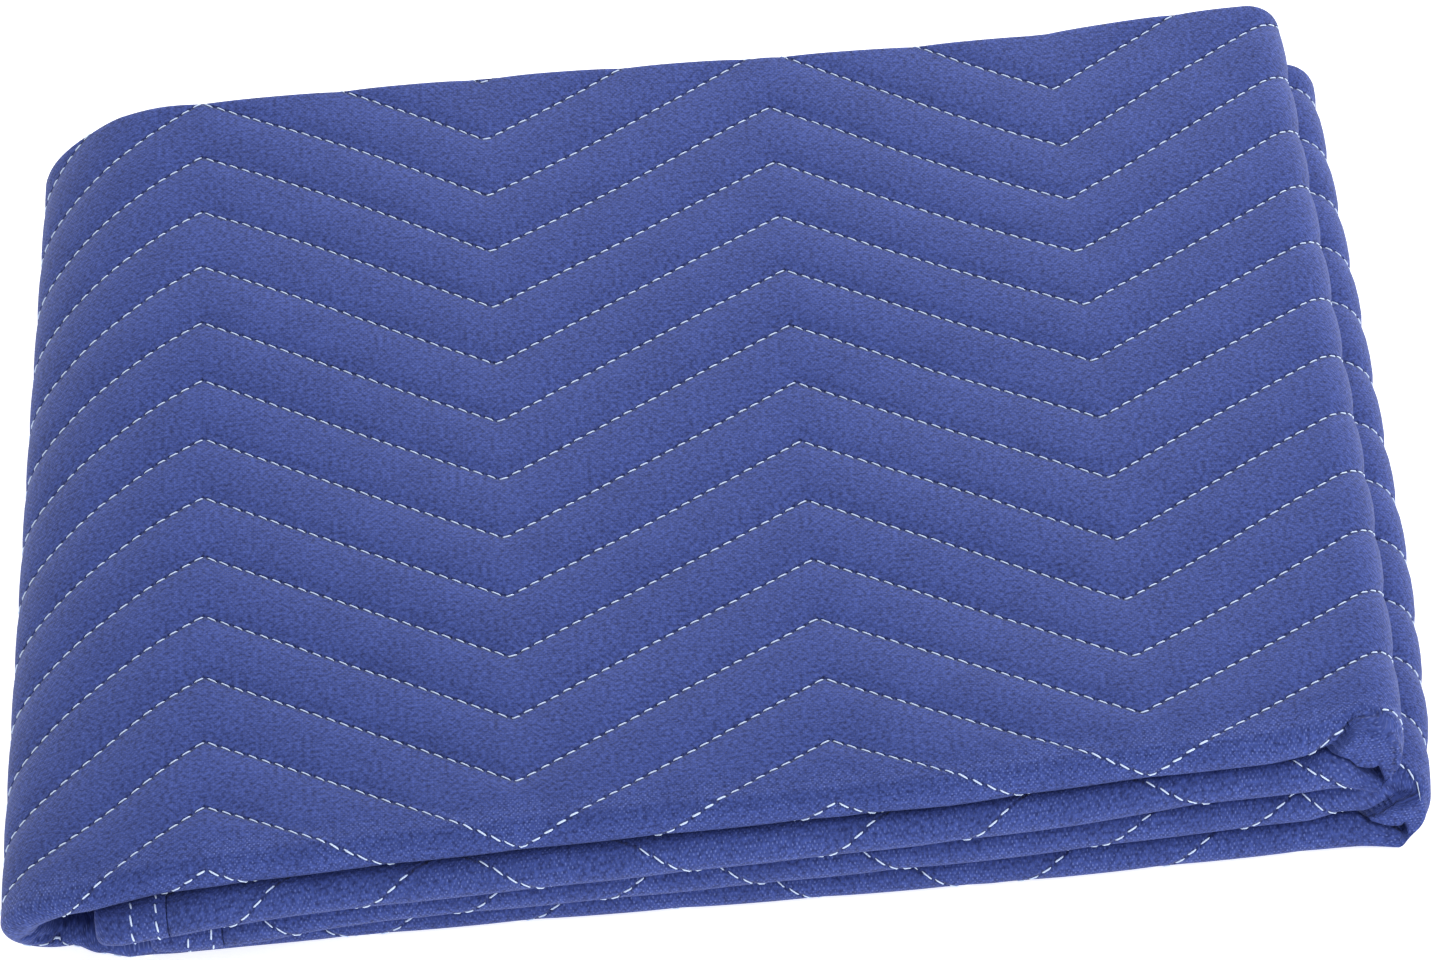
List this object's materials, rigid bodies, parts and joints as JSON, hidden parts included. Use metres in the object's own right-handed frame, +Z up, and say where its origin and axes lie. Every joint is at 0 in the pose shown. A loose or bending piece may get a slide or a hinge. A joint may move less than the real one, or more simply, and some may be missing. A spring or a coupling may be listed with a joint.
{
  "type": "moving blanket",
  "caption": "Quilted moving blanket, folded into a flat packet with rolled front edges and turned sides, its short edges bound.",
  "frame": {"origin": "centre of the packet's bounding box, on the surface that the packet rests on", "axes": "+X along the packet's long side, towards the two narrow turns; +Y from the rolled front edges to the back folds; +Z up"},
  "size_m": [0.5327, 0.4505, 0.0603],
  "materials": {
    "panel_cloth": "matte royal blue non-woven cloth with fine embossed dots",
    "binding_cloth": "matte royal blue non-woven cloth with fine embossed dots"
  },
  "bodies": {
    "root": {"quilted_panel": "panel_cloth", "end_binding_upper": "binding_cloth", "end_binding_lower": "binding_cloth"}
  },
  "joints": []
}
